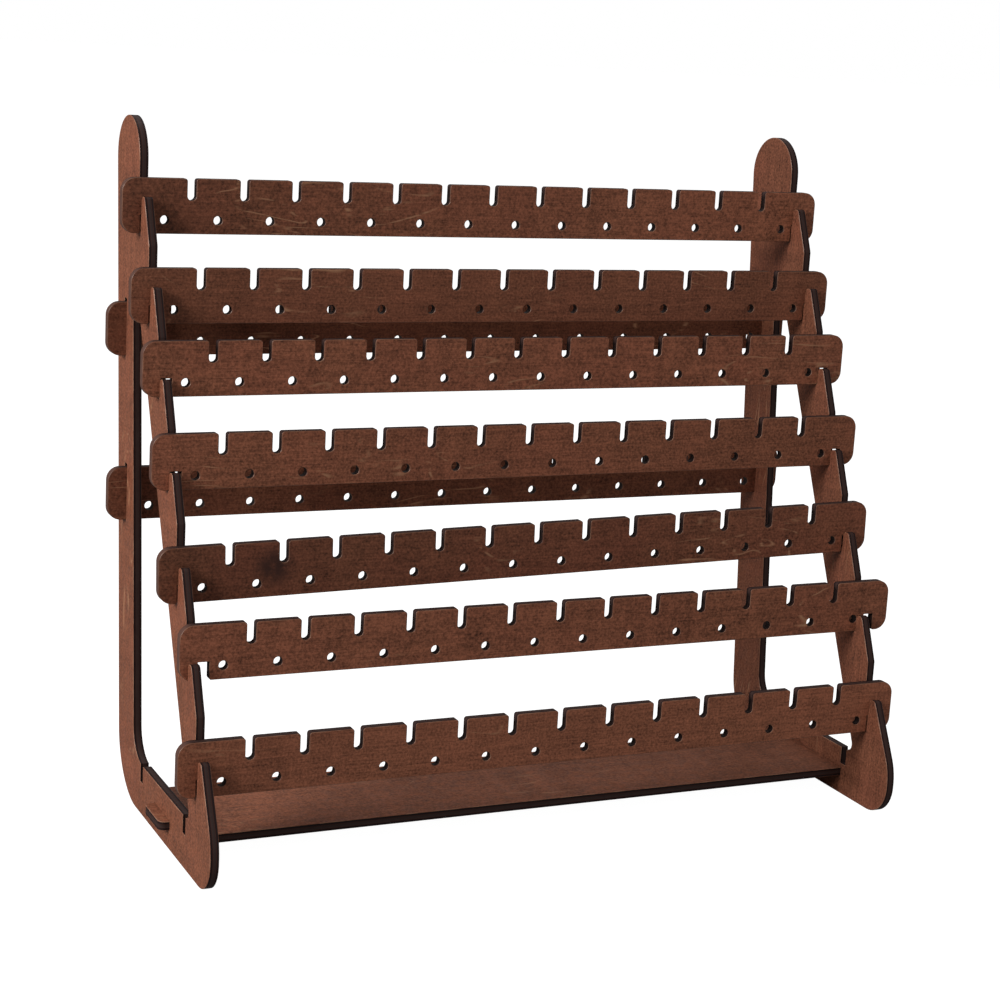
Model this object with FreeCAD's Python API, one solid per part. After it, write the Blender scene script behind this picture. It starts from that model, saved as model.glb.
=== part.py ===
import FreeCAD, Part
import math
import os

# Slotted plywood rack for earrings: two side frames, seven front bars, two rear bars and a base shelf.
# Millimetres, +Z up, the front faces -Y. The origin is on the standing surface, below the middle of
# the rack's bounding box. While the parts are made, x is measured from midway between the side frames
# and y from the line where the leaning rear edges meet the standing surface; build() then moves
# everything to the origin.

# Sheet and joint sizes
SHEET = 4.0                # thickness of the plywood
JOINT_DEPTH = 8.0          # depth of every cross-lap slot and of every bar's notch
SLOT_CLEARANCE = 0.15      # gap on each face of a sheet in its slot
SLOT_CORNER = 0.15         # corner radius at the bottom of a slot, within its clearance
TOLERANCE = 1e-6
XY_TO_YZ = FreeCAD.Rotation(FreeCAD.Vector(1, 1, 1), 120)
XY_TO_XZ = FreeCAD.Rotation(FreeCAD.Vector(1, 0, 0), 90)

# Bars
BAR_LENGTH = 350.0
BAR_HEIGHT = 24.0
BAR_CORNER = 6.0
PITCH = 24.0               # spacing of the hook slots, and of the post holes
HOOK_SLOTS = 13
HOOK_SLOT_WIDTH = 4.0
HOOK_SLOT_DEPTH = 9.5
HOOK_SLOT_MOUTH = 1.2      # rounding of a hook slot's two top corners
HOLE_DIAMETER = 4.0
HOLE_HEIGHT = 6.0          # hole centre above the bar's lower edge
NOTCH_WIDTH = 5.0
NOTCH_CORNER = 1.0         # rounding where a notch meets the lower edge

# Side frames
FRAME_SPAN = 329.0         # between the middle planes of the two frames
FRAME_HEIGHT = 307.3
STRIP_HEIGHT = 22.8        # height of the base strip
UPRIGHT_WIDTH = 25.0
UPRIGHT_LEAN = 0.075       # how far the upright leans back for each unit of height
DOME_RADIUS = 17.9
REAR_OUTER_RADIUS = 31.0
REAR_INNER_RADIUS = 15.0
FOOT_FRONT = -140.5
FOOT_BULGE_HEIGHT = 23.3
FOOT_BULGE_RADIUS = 25.0
FOOT_BOTTOM_RADIUS = 15.0

# Levels of the seven front bars
LEVELS = 7
LEVEL_BACK = 17.0          # each level is this much further forward than the one above
LEVEL_DROP = 36.85
TOP_BAR_FRONT = -18.5      # front face of the top bar
TOP_TIP = 273.9            # tip of the top prong
PRONG_WIDTH = 4.2
PRONG_TIP_RADIUS = 1.9
SHOULDER_DROP = 19.8       # from a prong's tip down to the shoulder below it
SHOULDER_RADIUS = 3.0
STRUT_REAR = -72.5         # rear edge of the strut at the height below
STRUT_REAR_HEIGHT = 107.3
STRUT_FOOT_RADIUS = 3.8
STRUT_TOP_RADIUS = 3.0

# Rear bars
REAR_BAR_INSET = 12.0      # middle plane of a rear bar, in front of the upright's rear edge
REAR_BAR_BOTTOMS = {"rear_bar_upper": 201.5, "rear_bar_lower": 127.8}
MORTISE_HEIGHT = 25.5

# Base shelf
SHELF_REAR = -41.0
SHELF_FRONT = -102.5
SHELF_BOTTOM = 8.8
SHELF_END_GAP = 0.1
TAB_MIDDLE = -70.5
TAB_LENGTH = 24.0
TAB_PROJECTION = 4.5
TAB_CORNER = 3.0
TAB_ROOT_RADIUS = 0.2
STRIP_SLOT_OFFSET = 33.0   # from the tab's middle to each spare slot in the base strip

# How each front bar stands in its slots: sideways shift, and the height of its left and right ends
# above the fully seated place. A bar that is shifted rests on its uncut lower edge.
RESTING = JOINT_DEPTH
BAR_STANDS = {
    1: (0.0, 0.0, 0.0),
    2: (0.0, 0.0, 0.0),
    3: (1.0, RESTING, RESTING),
    4: (1.0, RESTING, RESTING),
    5: (0.3, 0.1, 6.0),
    6: (4.8, RESTING, RESTING),
    7: (0.0, 0.0, 0.0),
}

# Middle of the rack's bounding box, measured as the header says
BOX_MIDDLE_X = 2.4         # off the frames' middle, because bar 6 stands out to the right
BOX_MIDDLE_Y = -59.4


def rounded_wire(corners):
    """Closed outline in the XY plane through (x, y, radius) corners, with tangent arcs."""
    points = [FreeCAD.Vector(x, y, 0) for x, y, radius in corners]
    radii = [radius for x, y, radius in corners]
    count = len(points)
    starts = []
    ends = []
    arcs = []
    for index in range(count):
        corner = points[index]
        to_previous = (points[index - 1] - corner).normalize()
        to_next = (points[(index + 1) % count] - corner).normalize()
        if radii[index] == 0:
            starts.append(corner)
            ends.append(corner)
            arcs.append(None)
            continue
        half_angle = to_previous.getAngle(to_next) / 2
        reach = radii[index] / math.tan(half_angle)
        inward = (to_previous + to_next).normalize()
        nearest = corner + inward * (radii[index] / math.sin(half_angle) - radii[index])
        starts.append(corner + to_previous * reach)
        ends.append(corner + to_next * reach)
        arcs.append(Part.Arc(starts[-1], nearest, ends[-1]).toShape())
    edges = []
    for index in range(count):
        if arcs[index]:
            edges.append(arcs[index])
        following = starts[(index + 1) % count]
        if (following - ends[index]).Length > TOLERANCE:
            edges.append(Part.makeLine(ends[index], following))
    return Part.Wire(Part.__sortEdges__(edges))


def plate(corners, thickness=SHEET):
    """A flat plate with a rounded outline, lying on the XY plane."""
    return Part.Face(rounded_wire(corners)).extrude(FreeCAD.Vector(0, 0, thickness))


def rectangle(x_low, x_high, y_low, y_high, radius=0.0):
    """Corners of a rectangle with one corner radius."""
    return [(x_low, y_low, radius), (x_high, y_low, radius), (x_high, y_high, radius), (x_low, y_high, radius)]


def stand_across(shape, x_low):
    """Turn a plate's XY outline into YZ, with the plate's lower face at x_low."""
    turned = shape.copy()
    turned.Placement = FreeCAD.Placement(FreeCAD.Vector(x_low, 0, 0), XY_TO_YZ)
    return turned


def stand_along(shape, y_rear):
    """Turn a plate's XY outline into XZ, with the plate's rear face at y_rear."""
    turned = shape.copy()
    turned.Placement = FreeCAD.Placement(FreeCAD.Vector(0, y_rear, 0), XY_TO_XZ)
    return turned


def bar_front(level):
    """Y of the front face of a level's bar; level 1 is the top."""
    return TOP_BAR_FRONT - LEVEL_BACK * (level - 1)


def tip_height(level):
    return TOP_TIP - LEVEL_DROP * (level - 1)


def strut_rear(height):
    """Y of the strut's sloping rear edge at a height."""
    return STRUT_REAR + (height - STRUT_REAR_HEIGHT) * LEVEL_BACK / LEVEL_DROP


def level_corners(level):
    """One level of the stepped front edge, from its slot to the shoulder below its prong."""
    slot_rear = bar_front(level) + SHEET + SLOT_CLEARANCE
    slot_front = bar_front(level) - SLOT_CLEARANCE
    tip = tip_height(level)
    corners = [
        (slot_rear, tip - JOINT_DEPTH, SLOT_CORNER),
        (slot_front, tip - JOINT_DEPTH, SLOT_CORNER),
        (slot_front, tip, PRONG_TIP_RADIUS),
        (slot_front - PRONG_WIDTH, tip, PRONG_TIP_RADIUS),
    ]
    if level < LEVELS:
        corners.append((slot_rear - LEVEL_BACK, tip - SHOULDER_DROP, SHOULDER_RADIUS))
    return corners


def upright_rear(height):
    """Y of the upright's leaning rear edge at a height."""
    return UPRIGHT_LEAN * height


def frame_plate():
    """A side frame lying flat: x is its depth, y its height."""
    outline = [
        (upright_rear(0), 0.0, REAR_OUTER_RADIUS),
        (upright_rear(FRAME_HEIGHT), FRAME_HEIGHT, DOME_RADIUS),
        (bar_front(1) + SHEET + SLOT_CLEARANCE, FRAME_HEIGHT, DOME_RADIUS),
    ]
    for level in range(1, LEVELS + 1):
        outline += level_corners(level)
    outline += [
        (FOOT_FRONT, FOOT_BULGE_HEIGHT, FOOT_BULGE_RADIUS),
        (FOOT_FRONT, 0.0, FOOT_BOTTOM_RADIUS),
    ]
    apex = (strut_rear(0) + UPRIGHT_WIDTH) / (UPRIGHT_LEAN - LEVEL_BACK / LEVEL_DROP)
    opening = [
        (upright_rear(STRIP_HEIGHT) - UPRIGHT_WIDTH, STRIP_HEIGHT, REAR_INNER_RADIUS),
        (upright_rear(apex) - UPRIGHT_WIDTH, apex, STRUT_TOP_RADIUS),
        (strut_rear(STRIP_HEIGHT), STRIP_HEIGHT, STRUT_FOOT_RADIUS),
    ]
    cuts = [plate(opening)] + mortises() + strip_slots()
    return plate(outline).cut(cuts).removeSplitter()


def rear_bar_middle(bottom):
    """Y of a rear bar's middle plane."""
    return upright_rear(bottom + MORTISE_HEIGHT / 2) - REAR_BAR_INSET


def mortises():
    """Closed mortises in the upright for the rear bars, and in the base strip for the shelf's tab."""
    half_width = SHEET / 2 + SLOT_CLEARANCE
    cutters = []
    for bottom in REAR_BAR_BOTTOMS.values():
        middle = rear_bar_middle(bottom)
        cutters.append(plate(rectangle(middle - half_width, middle + half_width,
                                       bottom, bottom + MORTISE_HEIGHT, SLOT_CORNER)))
    half_tab = TAB_LENGTH / 2 + SLOT_CLEARANCE
    cutters.append(plate(rectangle(TAB_MIDDLE - half_tab, TAB_MIDDLE + half_tab,
                                   SHELF_BOTTOM - SLOT_CLEARANCE, SHELF_BOTTOM + SHEET + SLOT_CLEARANCE,
                                   SLOT_CORNER / 2)))
    return cutters


def strip_slots():
    """Two spare cross-lap slots in the top edge of the base strip."""
    half_width = SHEET / 2 + SLOT_CLEARANCE
    cutters = []
    for side in (-1, 1):
        middle = TAB_MIDDLE + side * STRIP_SLOT_OFFSET
        low = STRIP_HEIGHT - JOINT_DEPTH
        corners = rectangle(middle - half_width, middle + half_width, low, STRIP_HEIGHT + JOINT_DEPTH / 2)
        corners[0] = (corners[0][0], corners[0][1], SLOT_CORNER)
        corners[1] = (corners[1][0], corners[1][1], SLOT_CORNER)
        cutters.append(plate(corners))
    return cutters


def bar_plate(notched):
    """A display bar lying flat, with its lower edge on y = 0 and its middle at x = 0."""
    half = BAR_LENGTH / 2
    outline = [(-half, 0.0, BAR_CORNER)]
    if notched:
        for side in (-1, 1):
            middle = side * FRAME_SPAN / 2
            low = middle - NOTCH_WIDTH / 2
            high = middle + NOTCH_WIDTH / 2
            outline += [(low, 0.0, NOTCH_CORNER), (low, JOINT_DEPTH, SLOT_CORNER),
                        (high, JOINT_DEPTH, SLOT_CORNER), (high, 0.0, NOTCH_CORNER)]
    outline += [(half, 0.0, BAR_CORNER), (half, BAR_HEIGHT, BAR_CORNER)]
    slot_bottom = BAR_HEIGHT - HOOK_SLOT_DEPTH
    slot_corner = HOOK_SLOT_WIDTH / 2
    for index in reversed(range(HOOK_SLOTS)):
        middle = PITCH * (index - (HOOK_SLOTS - 1) / 2)
        low = middle - HOOK_SLOT_WIDTH / 2
        high = middle + HOOK_SLOT_WIDTH / 2
        outline += [(high, BAR_HEIGHT, HOOK_SLOT_MOUTH), (high, slot_bottom, slot_corner),
                    (low, slot_bottom, slot_corner), (low, BAR_HEIGHT, HOOK_SLOT_MOUTH)]
    outline.append((-half, BAR_HEIGHT, BAR_CORNER))
    holes = []
    for index in range(HOOK_SLOTS + 1):
        middle = FreeCAD.Vector(PITCH * (index - HOOK_SLOTS / 2), HOLE_HEIGHT, 0)
        holes.append(Part.makeCylinder(HOLE_DIAMETER / 2, SHEET, middle))
    return plate(outline).cut(holes)


def front_bar(level):
    """A front bar at its level, standing as BAR_STANDS says."""
    shift, left_lift, right_lift = BAR_STANDS[level]
    bar = stand_along(bar_plate(notched=True), bar_front(level) + SHEET)
    seated_bottom = tip_height(level) - 2 * JOINT_DEPTH
    tilt = math.degrees(math.atan2(right_lift - left_lift, FRAME_SPAN))
    left_notch = FreeCAD.Vector(-FRAME_SPAN / 2, bar_front(level), 0)
    bar.rotate(left_notch, FreeCAD.Vector(0, -1, 0), tilt)
    bar.translate(FreeCAD.Vector(shift, 0, seated_bottom + left_lift))
    return bar


def rear_bar(bottom):
    """A rear bar, slid through the uprights' closed mortises."""
    bar = stand_along(bar_plate(notched=False), rear_bar_middle(bottom) + SHEET / 2)
    bar.translate(FreeCAD.Vector(0, 0, bottom))
    return bar


def side_frame(side):
    """The left (-1) or right (1) side frame."""
    return stand_across(frame_plate(), side * FRAME_SPAN / 2 - SHEET / 2)


def shelf_board():
    """The base shelf, with a rounded tab through each frame."""
    inner = FRAME_SPAN / 2 - SHEET / 2 - SHELF_END_GAP
    outer = FRAME_SPAN / 2 + SHEET / 2 + TAB_PROJECTION
    tab_rear = TAB_MIDDLE + TAB_LENGTH / 2
    tab_front = TAB_MIDDLE - TAB_LENGTH / 2
    outline = []
    for side in (-1, 1):
        half = [(side * inner, SHELF_FRONT, 0.0), (side * inner, tab_front, TAB_ROOT_RADIUS),
                (side * outer, tab_front, TAB_CORNER), (side * outer, tab_rear, TAB_CORNER),
                (side * inner, tab_rear, TAB_ROOT_RADIUS), (side * inner, SHELF_REAR, 0.0)]
        outline += half if side > 0 else half[::-1]
    board = plate(outline)
    board.translate(FreeCAD.Vector(0, 0, SHELF_BOTTOM))
    return board


def build():
    parts = {"left_side_frame": side_frame(-1), "right_side_frame": side_frame(1)}
    for level in range(1, LEVELS + 1):
        parts["front_bar_%d" % level] = front_bar(level)
    for name, bottom in REAR_BAR_BOTTOMS.items():
        parts[name] = rear_bar(bottom)
    parts["shelf_board"] = shelf_board()
    for solid in parts.values():
        solid.translate(FreeCAD.Vector(-BOX_MIDDLE_X, -BOX_MIDDLE_Y, 0))
    return parts


os.makedirs("parts", exist_ok=True)
for node, solid in build().items():
    print(node, solid.isValid(), len(solid.Solids), round(solid.Volume), solid.BoundBox)
    solid.exportStep("parts/%s.step" % node)
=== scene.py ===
import math

import bmesh
import bpy
from mathutils import Matrix, Vector


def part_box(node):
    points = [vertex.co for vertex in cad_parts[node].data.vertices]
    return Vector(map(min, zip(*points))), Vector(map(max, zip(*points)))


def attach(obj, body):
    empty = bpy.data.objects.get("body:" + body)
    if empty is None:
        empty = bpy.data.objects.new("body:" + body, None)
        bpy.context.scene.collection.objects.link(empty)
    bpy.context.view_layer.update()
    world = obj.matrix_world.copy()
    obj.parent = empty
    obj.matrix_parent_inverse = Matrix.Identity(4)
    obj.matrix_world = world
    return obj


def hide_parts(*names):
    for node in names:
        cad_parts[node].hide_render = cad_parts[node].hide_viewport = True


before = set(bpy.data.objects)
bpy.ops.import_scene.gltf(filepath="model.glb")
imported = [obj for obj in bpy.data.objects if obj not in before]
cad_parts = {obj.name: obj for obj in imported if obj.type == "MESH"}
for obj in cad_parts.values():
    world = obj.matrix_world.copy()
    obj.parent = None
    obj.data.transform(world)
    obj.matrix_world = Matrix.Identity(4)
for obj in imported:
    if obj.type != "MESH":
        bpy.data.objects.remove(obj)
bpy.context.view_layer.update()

# Stained plywood earring rack. Every sheet of the imported frame is replaced by the same sheet with
# eased corners, a narrow band round its faces that carries the wear and a painted highlight, and
# its own procedural wood.

MM = 0.001

# ---------------------------------------------------------------------------------------- sheets
CHAMFER = 0.22 * MM            # eased corner between a face and a cut edge
BAND = 0.7 * MM                # band inside the corner, over which the wear and the painted highlight fade out
WELD = 0.002 * MM
FLAT_ANGLE = math.radians(0.2)
SHARP_ANGLE = math.radians(25)
FACE_FACING = 0.95             # how nearly a face points across the sheet
CUT_FACING = 0.3               # and a cut edge, at most
FACE_ZONE, CUT_ZONE, CORNER_ZONE = 0, 1, 2

AXES = {"X": Vector((1, 0, 0)), "Y": Vector((0, 1, 0)), "Z": Vector((0, 0, 1))}

# For each node: body, material slot, axis across the sheet, axis along the grain, how light its
# face is drawn at the low-X and at the high-X end, and how red it is. This lightness is partly the
# stain's own uneven tone and partly painted shade: the shelf darkens towards high X, away from the
# light on the left, and the right side frame and the rear bars are darkened as painted shade from
# the bars in front of them.
SHEETS = {
    "left_side_frame": ("rack", "frame_plywood", "X", "Z", 0.98, 0.98, 0.55),
    "right_side_frame": ("rack", "frame_plywood", "X", "Z", 0.80, 0.80, 0.90),
    "shelf_board": ("rack", "shelf_plywood", "Z", "X", 1.12, 0.74, 0.10),
    "front_bar_1": ("front_bar_1", "bar_plywood", "Y", "X", 0.66, 1.20, 0.55),
    "front_bar_2": ("front_bar_2", "bar_plywood", "Y", "X", 0.82, 0.88, 0.45),
    "front_bar_3": ("front_bar_3", "bar_plywood", "Y", "X", 1.00, 1.05, 0.60),
    "front_bar_4": ("front_bar_4", "bar_plywood", "Y", "X", 1.00, 0.95, 0.50),
    "front_bar_5": ("front_bar_5", "bar_plywood", "Y", "X", 0.62, 0.88, 0.95),
    "front_bar_6": ("front_bar_6", "bar_plywood", "Y", "X", 1.04, 1.00, 0.50),
    "front_bar_7": ("front_bar_7", "bar_plywood", "Y", "X", 0.98, 1.14, 0.25),
    "rear_bar_upper": ("rear_bar_upper", "bar_plywood", "Y", "X", 0.72, 0.74, 0.60),
    "rear_bar_lower": ("rear_bar_lower", "bar_plywood", "Y", "X", 0.74, 0.76, 0.60),
}


# --------------------------------------------------------------------------------------- colours
def scaled(colour, factor):
    return tuple(channel * factor for channel in colour)


WHITE = (1, 1, 1)
STAIN_BROWN = (0.216, 0.078, 0.042)
STAIN_RED = (0.200, 0.066, 0.037)
STAIN_DARK = (0.075, 0.028, 0.018)
# pale colour of eased corners and of the band beside them: partly worn stain, partly a painted
# highlight
WEAR_AND_HIGHLIGHT = (0.34, 0.165, 0.10)
FIGURE_LIGHT = (0.40, 0.20, 0.11)
SCORCH = (0.017, 0.009, 0.009)
CORE_PLY = (0.044, 0.025, 0.022)
GLUE_LINE = (0.055, 0.019, 0.013)
PALE_END = (0.125, 0.060, 0.044)
SMOKED = (0.040, 0.017, 0.013)

# Colours of a cut edge, by how far they lie through the sheet, from one face to the other.
PLY_STOPS = (
    (0.0, SCORCH),
    (0.24, scaled(SCORCH, 0.9)),
    (0.30, GLUE_LINE),
    (0.35, CORE_PLY),
    (0.64, scaled(CORE_PLY, 0.8)),
    (0.69, GLUE_LINE),
    (0.75, scaled(SCORCH, 0.9)),
    (1.0, SCORCH),
)

# -------------------------------------------------------------------------------------- textures
# Noises of a face. Scales are per metre.
CLOUDS = {"scale": 22, "detail": 2.0}
BLOTCHES = {"scale": 190, "roughness": 0.6}
FIBRES = {"scale": 1500, "roughness": 0.65}
STREAKS = {"scale": 260, "roughness": 0.6, "distortion": 0.3}
SPECKLE = {"scale": 900, "detail": 2.0, "roughness": 0.7}
SANDING = {"scale": 130, "detail": 2.0, "roughness": 0.5}
PORES = {"scale": 2600, "detail": 1.0, "roughness": 0.5}
FIGURE = {"scale": 34, "detail": 2.0, "roughness": 0.5, "distortion": 0.9}
FIGURE_PATCHES = {"scale": 13, "detail": 1.0}
FIGURE_BREAKS = {"scale": 420, "detail": 2.0}
BAND_PATCHES = {"scale": 320, "detail": 2.0}

# Noises of a cut edge and of an eased corner.
CHAR = {"scale": 420, "roughness": 0.6}
PLY_WANDER = {"scale": 60, "detail": 2.0}
CORNER_PATCHES = {"scale": 150, "roughness": 0.6}

# A noise is drawn out along one direction by a scale under 1.
FIBRE_STRETCH = 0.035
STREAK_STRETCH = 0.12
FIGURE_STRETCH = 0.30
SANDING_STRETCH = 0.06

# How far each noise makes the stain lighter and darker.
CLOUD_DEPTH = 0.35
BLOTCH_DEPTH = 0.60
FIBRE_DEPTH = 1.10
STREAK_DEPTH = 0.40
SPECKLE_DEPTH = 2.20
SANDING_DEPTH = 0.45

PORE_DARKNESS = 0.45
FIGURE_CONTOURS = 9.0          # contour lines between the lowest and highest value of the field
FIGURE_LINE_WIDTH = 0.10       # on each side of a contour, as a share of the step to the next
FIGURE_STRENGTH = 0.80
# how far the band beside a corner pales, for wear and for a painted highlight
BAND_WEAR_AND_HIGHLIGHT = 0.12
PLY_WANDER_DEPTH = 0.10
CHAR_DEPTH = 0.5
BAR_CORNER_HIGHLIGHT = 0.62         # the bars' corners are darker than those of the frames and shelf: a weaker painted highlight

# From a sheet's low corner to the middle of a dark laser-smoke mark on its front face.
SMOKE_MARKS = {"front_bar_5": Vector((50.42, 0.0, 13.98)) * MM}
SMOKE_RADIUS = 12 * MM
SMOKE_CORE = 0.2               # share of the radius that is darkest
SMOKE_STRENGTH = 0.95

# The cut edge is paler near each end of a bar. Distances are from the end.
PALE_END_FULL = 2 * MM
PALE_END_GONE = 7 * MM
PALE_END_STRENGTH = 0.8

FACE_SPECULAR = 0.14
CUT_SPECULAR = 0.12
CORNER_SPECULAR = 0.25
FACE_BUMP = (0.35, 0.06 * MM)  # strength and distance
CUT_BUMP = (0.4, 0.05 * MM)


class Nodes:
    """Short names for building one material's node tree."""

    def __init__(self, name):
        self.material = bpy.data.materials.new(name)
        self.material.use_nodes = True
        self.tree = self.material.node_tree
        self.tree.nodes.clear()
        self.output = self.tree.nodes.new("ShaderNodeOutputMaterial")
        self.bsdf = self.tree.nodes.new("ShaderNodeBsdfPrincipled")
        self.tree.links.new(self.bsdf.outputs[0], self.output.inputs["Surface"])

    def add(self, kind, **settings):
        made = self.tree.nodes.new(kind)
        for key, value in settings.items():
            setattr(made, key, value)
        return made

    def feed(self, socket, value):
        if isinstance(value, bpy.types.NodeSocket):
            self.tree.links.new(value, socket)
        elif isinstance(value, tuple) and socket.type == "RGBA":
            socket.default_value = (*value, 1)
        else:
            socket.default_value = value

    def math(self, operation, a, b=0.0):
        made = self.add("ShaderNodeMath", operation=operation)
        self.feed(made.inputs[0], a)
        self.feed(made.inputs[1], b)
        return made.outputs[0]

    def remap(self, value, low, high, out_low=0.0, out_high=1.0, ease="SMOOTHSTEP"):
        made = self.add("ShaderNodeMapRange", interpolation_type=ease)
        for socket, number in zip(made.inputs, (value, low, high, out_low, out_high)):
            self.feed(socket, number)
        return made.outputs[0]

    def mix(self, factor, a, b, blend="MIX"):
        made = self.add("ShaderNodeMix", data_type="RGBA", blend_type=blend)
        self.feed(made.inputs[0], factor)
        self.feed(made.inputs[6], a)
        self.feed(made.inputs[7], b)
        return made.outputs[2]

    def coordinates(self):
        return self.add("ShaderNodeTexCoord").outputs["Object"]

    def along(self, axis):
        split = self.add("ShaderNodeSeparateXYZ")
        self.feed(split.inputs[0], self.coordinates())
        return split.outputs[axis]

    def place(self, offset, stretch=(1, 1, 1)):
        """Object coordinates scaled per axis and moved by offset."""
        mapping = self.add("ShaderNodeMapping")
        self.feed(mapping.inputs["Vector"], self.coordinates())
        self.feed(mapping.inputs["Location"], offset)
        self.feed(mapping.inputs["Scale"], stretch)
        return mapping.outputs[0]

    def noise(self, vector, scale, detail=3.0, roughness=0.55, distortion=0.0):
        made = self.add("ShaderNodeTexNoise")
        self.feed(made.inputs["Vector"], vector)
        self.feed(made.inputs["Scale"], scale)
        self.feed(made.inputs["Detail"], detail)
        self.feed(made.inputs["Roughness"], roughness)
        self.feed(made.inputs["Distortion"], distortion)
        return made.outputs["Fac"]

    def attribute(self, name):
        return self.add("ShaderNodeAttribute", attribute_name=name).outputs["Fac"]

    def bump(self, height, strength, distance):
        made = self.add("ShaderNodeBump")
        self.feed(made.inputs["Strength"], strength)
        self.feed(made.inputs["Distance"], distance)
        self.feed(made.inputs["Height"], height)
        return made.outputs[0]

    def finish(self, colour, roughness, specular, normal=None):
        """Feed the shader; the specular level stays a plain number."""
        self.feed(self.bsdf.inputs["Base Color"], colour)
        self.feed(self.bsdf.inputs["Roughness"], roughness)
        self.feed(self.bsdf.inputs["Specular IOR Level"], specular)
        if normal:
            self.feed(self.bsdf.inputs["Normal"], normal)
        return self.material


def stretched(axis, along, across=1.0):
    """Per-axis scale, one number along an axis and another across it."""
    return tuple(along if letter == axis else across for letter in "XYZ")


def span(node, axis):
    """Low and high side of a node's box along an axis."""
    index = "XYZ".index(axis)
    low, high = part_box(node)
    return low[index], high[index]


def uneven(n, layers):
    """A factor about 1, made lighter and darker by each (texture, depth) layer."""
    shade = 1.0
    for texture, depth in layers:
        swing = n.math("MULTIPLY", n.math("SUBTRACT", texture, 0.5), depth)
        shade = n.math("ADD", shade, swing)
    return shade


def figure_lines(n, even, streaks, figure):
    """Pale figure lines: contours of a slow field, broken up and only in patches."""
    field = n.math("MULTIPLY", n.noise(figure, **FIGURE), FIGURE_CONTOURS)
    contour = n.math("ABSOLUTE", n.math("SUBTRACT", n.math("FRACT", field), 0.5))
    line = n.remap(contour, 0.0, FIGURE_LINE_WIDTH, 1.0, 0.0)
    patch = n.remap(n.noise(even, **FIGURE_PATCHES), 0.53, 0.63)
    broken = n.remap(n.noise(streaks, **FIGURE_BREAKS), 0.45, 0.62)
    lines = n.math("MULTIPLY", line, patch)
    return n.math("MULTIPLY", lines, n.math("MULTIPLY", broken, FIGURE_STRENGTH))


def smoke_mark(n, node, blotches):
    """A round smoke mark on the node's front face, uneven all over."""
    low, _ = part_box(node)
    distance = n.add("ShaderNodeVectorMath", operation="DISTANCE")
    n.feed(distance.inputs[0], n.coordinates())
    n.feed(distance.inputs[1], low + SMOKE_MARKS[node])
    near = n.remap(distance.outputs["Value"], SMOKE_CORE * SMOKE_RADIUS, SMOKE_RADIUS,
                   SMOKE_STRENGTH, 0.0)
    return n.math("MULTIPLY", near, n.remap(blotches, 0.25, 0.6, 0.4, 1.0))


def wood_face(name, node, grain, tones_and_shade, redness, seed):
    """Stained face veneer with light sanding marks."""
    n = Nodes(name)
    offset = (seed * 0.731, seed * 1.273, seed * 0.517)
    even = n.place(offset)
    long_fine = n.place(offset, stretched(grain, FIBRE_STRETCH))
    long_coarse = n.place(offset, stretched(grain, STREAK_STRETCH))
    figure = n.place(offset, stretched(grain, FIGURE_STRETCH))
    crosswise = n.place(offset, stretched(grain, 1.0, SANDING_STRETCH))

    clouds = n.noise(even, **CLOUDS)
    blotches = n.noise(even, **BLOTCHES)
    fibres = n.noise(long_fine, **FIBRES)
    shade = uneven(n, (
        (clouds, CLOUD_DEPTH),
        (blotches, BLOTCH_DEPTH),
        (fibres, FIBRE_DEPTH),
        (n.noise(long_coarse, **STREAKS), STREAK_DEPTH),
        (n.noise(even, **SPECKLE), SPECKLE_DEPTH),
        (n.noise(crosswise, **SANDING), SANDING_DEPTH),
    ))
    # lightness from the low-X to the high-X end: partly the stain's own tone, partly painted shade
    tone_and_shade = n.remap(n.along("X"), *span(node, "X"), *tones_and_shade, ease="LINEAR")
    shade = n.math("MULTIPLY", shade, tone_and_shade)
    stain = n.mix(n.remap(clouds, 0.32, 0.68, 0.0, redness), STAIN_BROWN, STAIN_RED)
    colour = n.mix(1.0, stain, shade, "MULTIPLY")

    pores = n.remap(n.noise(long_fine, **PORES), 0.66, 0.74)
    colour = n.mix(n.math("MULTIPLY", pores, PORE_DARKNESS), colour, STAIN_DARK)
    colour = n.mix(figure_lines(n, even, long_coarse, figure), colour, FIGURE_LIGHT)
    if node in SMOKE_MARKS:
        colour = n.mix(smoke_mark(n, node, blotches), colour, SMOKED)

    # the band beside the corner is a little paler in patches: partly worn stain, partly a painted
    # highlight
    rubbed_and_highlit = n.remap(n.noise(even, **BAND_PATCHES), 0.35, 0.65, 0.25, 0.85)
    band = n.math("MULTIPLY", n.remap(n.attribute("edge_wear_and_highlight"), 0.0, 1.0), rubbed_and_highlit)
    colour = n.mix(n.math("MULTIPLY", band, BAND_WEAR_AND_HIGHLIGHT), colour, WEAR_AND_HIGHLIGHT)

    dullness = n.math("ADD", blotches, n.math("MULTIPLY", fibres, 0.5))
    roughness = n.remap(dullness, 0.5, 1.0, 0.52, 0.72)
    height = n.math("ADD", n.math("MULTIPLY", fibres, 0.6), n.math("MULTIPLY", pores, -0.5))
    return n.finish(colour, roughness, FACE_SPECULAR, n.bump(height, *FACE_BUMP))


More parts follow.
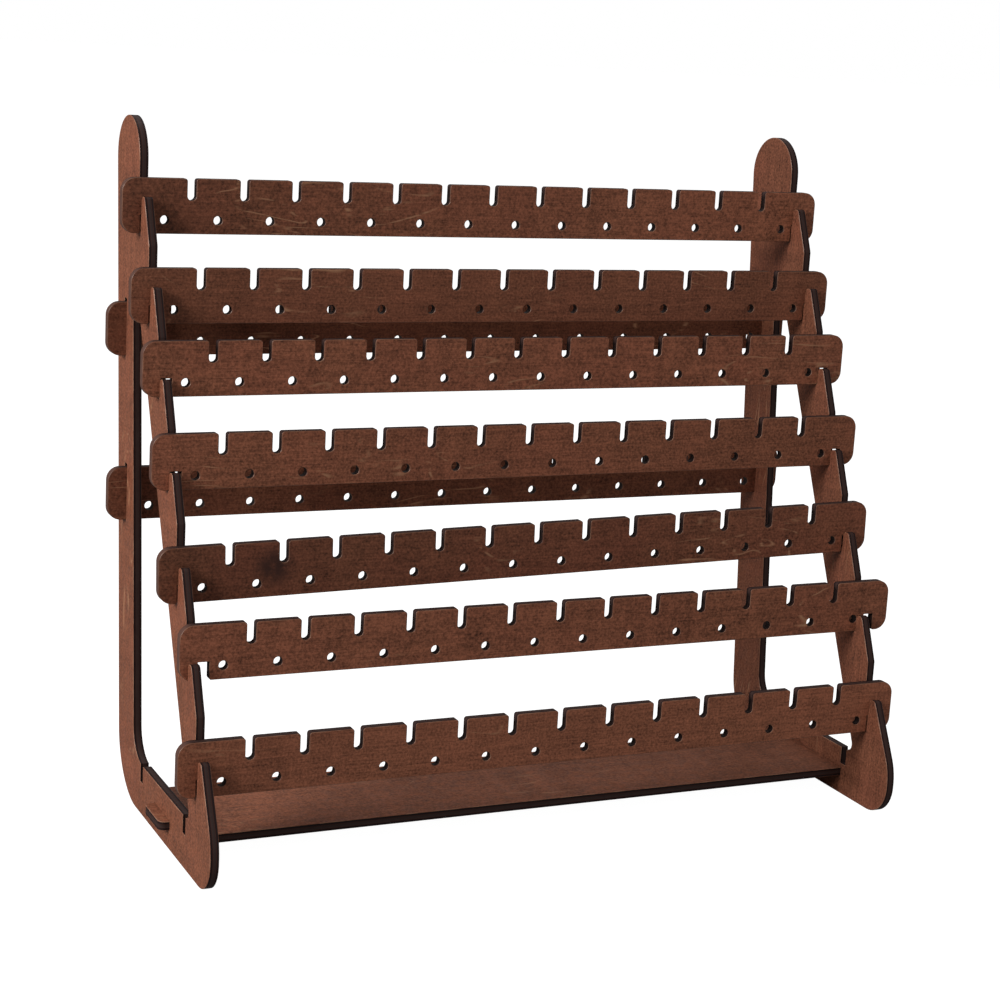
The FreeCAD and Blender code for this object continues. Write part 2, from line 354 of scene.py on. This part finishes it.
def cut_edge(name, node, across, pale_ends, seed):
    """Laser-cut edge: charred, with the plies and glue lines just showing."""
    n = Nodes(name)
    even = n.place((seed * 0.913, seed * 0.377, seed * 1.117))
    wander = n.math("SUBTRACT", n.noise(even, **PLY_WANDER), 0.5)
    depth = n.remap(n.along(across), *span(node, across), ease="LINEAR")
    depth = n.math("ADD", depth, n.math("MULTIPLY", wander, PLY_WANDER_DEPTH))
    plies = n.add("ShaderNodeValToRGB")
    n.feed(plies.inputs[0], depth)
    elements = plies.color_ramp.elements
    while len(elements) < len(PLY_STOPS):
        elements.new(0.5)
    for element, (position, colour) in zip(elements, PLY_STOPS):
        element.position = position
        element.color = (*colour, 1)

    char = n.noise(even, **CHAR)
    shade = n.math("ADD", 0.75, n.math("MULTIPLY", char, CHAR_DEPTH))
    colour = n.mix(1.0, plies.outputs[0], shade, "MULTIPLY")
    # the cut edge turns paler near each end of a bar
    if pale_ends:
        low, high = span(node, "X")
        from_low = n.math("SUBTRACT", n.along("X"), low)
        from_high = n.math("SUBTRACT", high, n.along("X"))
        from_end = n.math("MINIMUM", from_low, from_high)
        paler_near_end = n.remap(from_end, PALE_END_FULL, PALE_END_GONE, PALE_END_STRENGTH, 0.0)
        paler_near_end = n.math("MULTIPLY", paler_near_end, n.remap(char, 0.2, 0.6, 0.6, 1.0))
        colour = n.mix(paler_near_end, colour, PALE_END)
    roughness = n.remap(char, 0.3, 0.7, 0.5, 0.75)
    return n.finish(colour, roughness, CUT_SPECULAR, n.bump(char, *CUT_BUMP))


def worn_and_highlit_corner(name, tone_and_shade, seed):
    """The eased corner, paler in places: partly stain worn thin, partly a painted highlight."""
    n = Nodes(name)
    even = n.place((seed * 0.61, seed * 0.83, seed * 1.31))
    rubbed_and_highlit = n.remap(n.noise(even, **CORNER_PATCHES), 0.38, 0.62)
    colour = n.mix(rubbed_and_highlit, scaled(STAIN_BROWN, tone_and_shade), scaled(WEAR_AND_HIGHLIGHT, tone_and_shade))
    return n.finish(colour, n.remap(rubbed_and_highlit, 0.0, 1.0, 0.5, 0.4), CORNER_SPECULAR)


# ---------------------------------------------------------------------------------------- meshes
def zone_of(face, across):
    facing = abs(face.normal.dot(AXES[across]))
    if facing > FACE_FACING:
        return FACE_ZONE
    if facing < CUT_FACING:
        return CUT_ZONE
    return CORNER_ZONE


def zones_round(part, across):
    """The zones that meet at an edge or a vertex."""
    return {zone_of(face, across) for face in part.link_faces}


def sheet_mesh(name, node, across):
    """The node's sheet with eased corners and a narrow band inside each face's outline."""
    bm = bmesh.new()
    bm.from_mesh(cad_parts[node].data)
    bmesh.ops.remove_doubles(bm, verts=bm.verts, dist=WELD)
    bmesh.ops.dissolve_limit(bm, angle_limit=FLAT_ANGLE, verts=bm.verts, edges=bm.edges)
    corners = [edge for edge in bm.edges if len(edge.link_faces) == 2
               and zones_round(edge, across) == {FACE_ZONE, CUT_ZONE}]
    bmesh.ops.bevel(bm, geom=corners, offset=CHAMFER, offset_type="OFFSET", segments=1,
                    affect="EDGES", clamp_overlap=False)
    # 1 along the band's outer edge, where wear and a painted highlight pale the face
    wear_and_highlight = bm.verts.layers.float.new("edge_wear_and_highlight")
    faces = [face for face in bm.faces if zone_of(face, across) == FACE_ZONE]
    bmesh.ops.inset_region(bm, faces=faces, thickness=BAND, use_even_offset=True,
                           use_boundary=True)
    for vertex in bm.verts:
        vertex[wear_and_highlight] = 0.0 if zones_round(vertex, across) == {FACE_ZONE} else 1.0
    for face in bm.faces:
        face.material_index = zone_of(face, across)
    mesh = bpy.data.meshes.new(name)
    bm.to_mesh(mesh)
    bm.free()
    mesh.shade_smooth()
    mesh.set_sharp_from_angle(angle=SHARP_ANGLE)
    return mesh


def make_sheet(node, seed):
    body, slot, across, grain, low_tone_and_shade, high_tone_and_shade, redness = SHEETS[node]
    is_bar = body != "rack"
    tones_and_shade = (low_tone_and_shade, high_tone_and_shade)
    # the corner follows the sheet's tone and painted shade; on the bars its painted highlight is
    # weaker
    corner_shade_and_highlight = sum(tones_and_shade) / 2 * (BAR_CORNER_HIGHLIGHT if is_bar else 1.0)
    mesh = sheet_mesh(node + "_wood", node, across)
    mesh.materials.append(wood_face(node + "_face", node, grain, tones_and_shade, redness, seed))
    mesh.materials.append(cut_edge(node + "_cut", node, across, is_bar, seed))
    mesh.materials.append(worn_and_highlit_corner(node + "_corner", corner_shade_and_highlight, seed))
    piece = bpy.data.objects.new(node + "_wood", mesh)
    bpy.context.scene.collection.objects.link(piece)
    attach(piece, body)
    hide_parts(node)


# ---------------------------------------------------------------------------------------- studio
FLOOR_SIZE = 40.0
FLOOR_SHOWN = (0.25, 0.25, 0.25)   # with the glow, paper too white for a shadow to show
FLOOR_GLOW = 0.985                 # only the camera sees it
FLOOR_BOUNCE = (0.30, 0.30, 0.30)  # what the floor throws back on the rack
FLOOR_ROUGHNESS = 0.9

WORLD_LIGHT = 0.26                 # how bright the world is as a light
WORLD_SHOWN = 1.0                  # and as the camera sees it

# For each light: place, side of its square in metres, and power in watts.
LIGHT_TARGET = Vector((0, 0, 0.15))
LIGHTS = {
    "key": ((-2.0, -0.50, 1.20), 0.9, 47),
    "front_fill": ((0.6, -2.2, 1.2), 1.4, 5),
    "top": ((0.2, 0.9, 2.0), 1.4, 14),
}

CAMERA_PLACE = (-0.4240, -0.8770, 0.3523)
CAMERA_YAW = math.radians(25.274)
CAMERA_PITCH = math.radians(12.192)
CAMERA_ROLL = math.radians(3.232)
CAMERA_LENS = 78.239               # lens and sensor in millimetres
CAMERA_SENSOR = 36
CAMERA_NEAR = 0.01
CAMERA_FAR = 100


def floor_paper():
    """White paper as the camera sees it, a plain diffuse grey for the light it throws back."""
    n = Nodes("floor_paper")
    n.feed(n.bsdf.inputs["Emission Color"], WHITE)
    n.feed(n.bsdf.inputs["Emission Strength"], FLOOR_GLOW)
    n.finish(FLOOR_SHOWN, FLOOR_ROUGHNESS, 0.0)
    bounce = n.add("ShaderNodeBsdfDiffuse")
    n.feed(bounce.inputs["Color"], FLOOR_BOUNCE)
    choose = n.add("ShaderNodeMixShader")
    n.feed(choose.inputs[0], n.add("ShaderNodeLightPath").outputs["Is Camera Ray"])
    n.feed(choose.inputs[1], bounce.outputs[0])
    n.feed(choose.inputs[2], n.bsdf.outputs[0])
    n.feed(n.output.inputs["Surface"], choose.outputs[0])
    return n.material


def make_floor():
    half = FLOOR_SIZE / 2
    corners = [(-half, -half, 0), (half, -half, 0), (half, half, 0), (-half, half, 0)]
    mesh = bpy.data.meshes.new("floor")
    mesh.from_pydata(corners, [], [(0, 1, 2, 3)])
    mesh.materials.append(floor_paper())
    floor = bpy.data.objects.new("floor", mesh)
    bpy.context.scene.collection.objects.link(floor)


def make_world():
    world = bpy.data.worlds.new("studio")
    bpy.context.scene.world = world
    world.use_nodes = True
    tree = world.node_tree
    background = tree.nodes["Background"]
    background.inputs["Color"].default_value = (*WHITE, 1)
    strength = tree.nodes.new("ShaderNodeMapRange")
    strength.inputs["To Min"].default_value = WORLD_LIGHT
    strength.inputs["To Max"].default_value = WORLD_SHOWN
    path = tree.nodes.new("ShaderNodeLightPath")
    tree.links.new(path.outputs["Is Camera Ray"], strength.inputs["Value"])
    tree.links.new(strength.outputs[0], background.inputs["Strength"])


def make_light(name, place, side, power):
    data = bpy.data.lights.new(name, "AREA")
    data.shape = "SQUARE"
    data.size = side
    data.energy = power
    light = bpy.data.objects.new(name, data)
    light.location = place
    aim = LIGHT_TARGET - Vector(place)
    light.rotation_euler = aim.to_track_quat("-Z", "Y").to_euler()
    bpy.context.scene.collection.objects.link(light)


def make_camera():
    data = bpy.data.cameras.new("camera")
    data.lens = CAMERA_LENS
    data.sensor_width = CAMERA_SENSOR
    data.clip_start = CAMERA_NEAR
    data.clip_end = CAMERA_FAR
    camera = bpy.data.objects.new("camera", data)
    forward = Vector((math.sin(CAMERA_YAW) * math.cos(CAMERA_PITCH),
                      math.cos(CAMERA_YAW) * math.cos(CAMERA_PITCH),
                      -math.sin(CAMERA_PITCH)))
    level = Vector((math.cos(CAMERA_YAW), -math.sin(CAMERA_YAW), 0))
    upright = level.cross(forward)
    right = level * math.cos(CAMERA_ROLL) + upright * math.sin(CAMERA_ROLL)
    up = upright * math.cos(CAMERA_ROLL) - level * math.sin(CAMERA_ROLL)
    turn = Matrix((right, up, -forward)).transposed().to_4x4()
    camera.matrix_world = Matrix.Translation(CAMERA_PLACE) @ turn
    bpy.context.scene.collection.objects.link(camera)
    bpy.context.scene.camera = camera


for seed, node in enumerate(SHEETS, start=1):
    make_sheet(node, seed)
make_floor()
make_world()
for name, settings in LIGHTS.items():
    make_light(name, *settings)
make_camera()
bpy.context.scene.view_settings.view_transform = "Standard"
